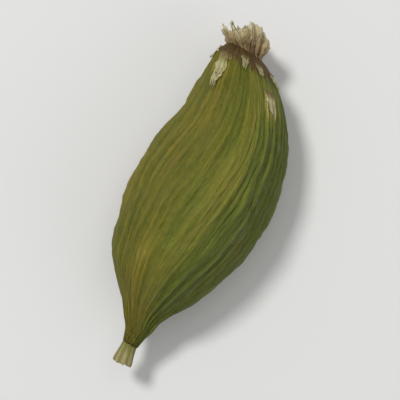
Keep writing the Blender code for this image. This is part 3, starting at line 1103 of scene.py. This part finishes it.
@dataclass
class PeelingSkin:
    """The strips of skin round the husk's flower end."""

    # Each strip: its offset in degrees, the share it starts at, its length, width, lift, curl and slant.
    strips: tuple[SkinStrip, ...] = (
        SkinStrip(300, 0.990, 0.0019, 0.0010, 4e-5, 0.00018, 0.08),
        SkinStrip(344, 1.010, 0.0006, 0.0005, 4e-5, 0.00010, -0.10),
        SkinStrip(14, 1.006, 0.0004, 0.0004, 4e-5, 8e-5, 0.20),
        SkinStrip(27, 0.942, 0.0010, 0.0011, 3e-5, 0.00012, 0.05),
        SkinStrip(60, 1.006, 0.0005, 0.0007, 4e-5, 0.00010, -0.14),
        SkinStrip(98, 1.006, 0.0006, 0.0007, 4e-5, 0.00010, 0.20),
        SkinStrip(165, 1.004, 0.0013, 0.0009, 4e-5, 8e-5, -0.10),
        SkinStrip(215, 1.002, 0.0011, 0.0008, 4e-5, 0.00012, 0.05),
        SkinStrip(262, 1.004, 0.0008, 0.0007, 4e-5, 0.00010, -0.15),
    )
    wall: float = 4e-5
    taper: float = 0.62
    raggedness: float = 0.55
    tip_raggedness: float = 0.50
    tear_grain: float = 5.0
    crumple_grain: Pair = (2.0, 3.0)
    crumple_height: float = 7e-5
    root_rise: Rise = (0.0, 0.15)
    fibre_grain: float = 0.8
    # How far apart the strips lie in the noise of their sides, tips, crumples and fibres.
    noise_steps: tuple[float, float, float, float] = (3.0, 5.0, 6.0, 2.0)
    pale_rise: Rise = (0.0, 0.55)
    paleness: float = 1.1
    side_paleness: float = 0.15
    cuts_along: int = 34
    cuts_across: int = 20

    def strip(self, strip: SkinStrip, husk: Husk, count: int) -> Piece:
        """Models one strip: a sheet with torn sides, rooted on the crown and curled up at its free end."""
        deselect_all()
        bpy.ops.mesh.primitive_grid_add(
            x_subdivisions=self.cuts_along, y_subdivisions=self.cuts_across, size=2
        )
        sheet = bpy.context.object
        square = vertex_places(sheet)
        down, side = (square[:, 0] + 1) / 2, square[:, 1]
        sides, tips, crumples, fibres = (step * count for step in self.noise_steps)
        level = np.zeros(len(side))
        tearing = np.stack([down * self.tear_grain, np.sign(side) + sides, level], axis=1)
        ragged = self.raggedness * unevenness(tearing, 4)
        half = strip.width / 2 * (1 - self.taper * down**1.5) * (1 + ragged)
        torn = unevenness(np.stack([side * self.tear_grain, level, level + tips], axis=1), 3)
        along = down * strip.length * (1 + self.tip_raggedness * torn * down)
        share = strip.start - along / husk.length
        base = husk.outline_radius(np.clip(share, 0, 1))
        across = side * half + strip.slant * along
        offset = (math.radians(strip.degrees) + across / base) % FULL_TURN
        fine_across, fine_along = self.crumple_grain
        crumple = unevenness(np.stack([side * fine_across, down * fine_along, level + crumples], axis=1))
        rise = strip.lift * rising(down, self.root_rise) + strip.curl * down**3
        rise += self.crumple_height * np.abs(crumple) * down
        points, _, _ = husk.skin(offset, share, base + rise)
        place_vertices(sheet, points)
        fibre = round_coordinates(side, down, self.fibre_grain, self.fibre_grain, fibres)
        pale = self.paleness * rising(down, self.pale_rise) + self.side_paleness * np.abs(side)
        write_traits(sheet, {Trait.FIBRE: fibre, Trait.EDGE: np.clip(pale, 0, 1)})
        give_wall(sheet, self.wall)
        return sheet

    def build(self, finish: WitheredPaper, husk: Husk) -> Piece:
        """Models the strips on the husk and dresses them as one piece."""
        sheets = [self.strip(strip, husk, count) for count, strip in enumerate(self.strips)]
        piece = join_pieces(sheets, "peeling_skin")
        dress(piece, finish.material(), "")
        return piece


@dataclass
class Studio:
    """The pale floor, the soft lights and the camera that looks down on the pod."""

    floor_size: float = 2.0
    floor_drop: float = 2e-5
    frame_height: float = 0.0232
    lens: float = 150.0
    sensor: float = 36.0
    pod_axis_in_picture: float = math.radians(59.2)
    background: Colour = (0.86, 0.87, 0.88, 1)
    background_strength: float = 0.38
    # Each light: its name, azimuth in the picture, elevation, distance from the pod, size and power.
    lights: tuple[tuple[str, float, float, float, float, float], ...] = (
        ("key_light", 130, 61, 0.32, 0.06, 0.60),
        ("fill_light", 330, 35, 0.40, 0.30, 0.18),
        ("top_light", 60, 74, 0.45, 0.30, 0.24),
    )

    def picture_direction(self, azimuth: float, elevation: float) -> Vector:
        """The way towards that azimuth in the picture, counted from its right-hand side, and elevation."""
        turn = math.radians(azimuth) - self.pod_axis_in_picture
        rise = math.radians(elevation)
        return Vector((math.cos(turn) * math.cos(rise), math.sin(turn) * math.cos(rise), math.sin(rise)))

    def lay_floor(self, finish: FloorFinish) -> None:
        """Lays the floor just under the pod's flat spot."""
        deselect_all()
        bpy.ops.mesh.primitive_plane_add(size=self.floor_size, location=(0, 0, -self.floor_drop))
        floor = bpy.context.object
        floor.name = "pale_floor"
        floor.data.materials.append(finish.material())

    def hang_lights(self, middle: Vector) -> None:
        """Hangs each light at its place, turned to the pod."""
        for name, azimuth, elevation, distance, size, power in self.lights:
            way = self.picture_direction(azimuth, elevation)
            deselect_all()
            bpy.ops.object.light_add(type="AREA", location=middle + distance * way)
            light = bpy.context.object
            light.name = name
            light.rotation_euler = way.to_track_quat("Z", "Y").to_euler()
            light.data.shape = "DISK"
            light.data.size = size
            light.data.energy = power
        world = bpy.data.worlds.new("soft_room")
        world.use_nodes = True
        sky = world.node_tree.nodes["Background"]
        sky.inputs["Color"].default_value = self.background
        sky.inputs["Strength"].default_value = self.background_strength
        bpy.context.scene.world = world

    def set_camera(self, middle: Vector) -> None:
        """Sets the camera over the pod, turned so that the pod lies as in the photograph."""
        distance = self.frame_height * self.lens / self.sensor
        deselect_all()
        rotation = (0, 0, -self.pod_axis_in_picture)
        bpy.ops.object.camera_add(location=middle + Vector((0, 0, distance)), rotation=rotation)
        camera = bpy.context.object
        camera.data.lens = self.lens
        camera.data.sensor_width = self.sensor
        camera.data.clip_start = distance / 100
        camera.data.clip_end = self.floor_size * 2
        bpy.context.scene.camera = camera
        bpy.context.scene.view_settings.view_transform = "Standard"


def main() -> None:
    """Builds the pod piece by piece and sets the studio round it."""
    logging.basicConfig(level=logging.INFO, format="%(name)s: %(message)s")
    husk = Husk()
    husk.build(HuskSkin())
    Stalk().build(StalkFibre(), husk)
    FlowerRemnant().build(WitheredPaper(), husk)
    PeelingSkin().build(FLAKE_PAPER, husk)
    low, high = CAD_BOX
    middle = (low + high) / 2
    studio = Studio()
    studio.lay_floor(FloorFinish())
    studio.hang_lights(middle)
    studio.set_camera(middle)


if __name__ == "__main__":
    main()
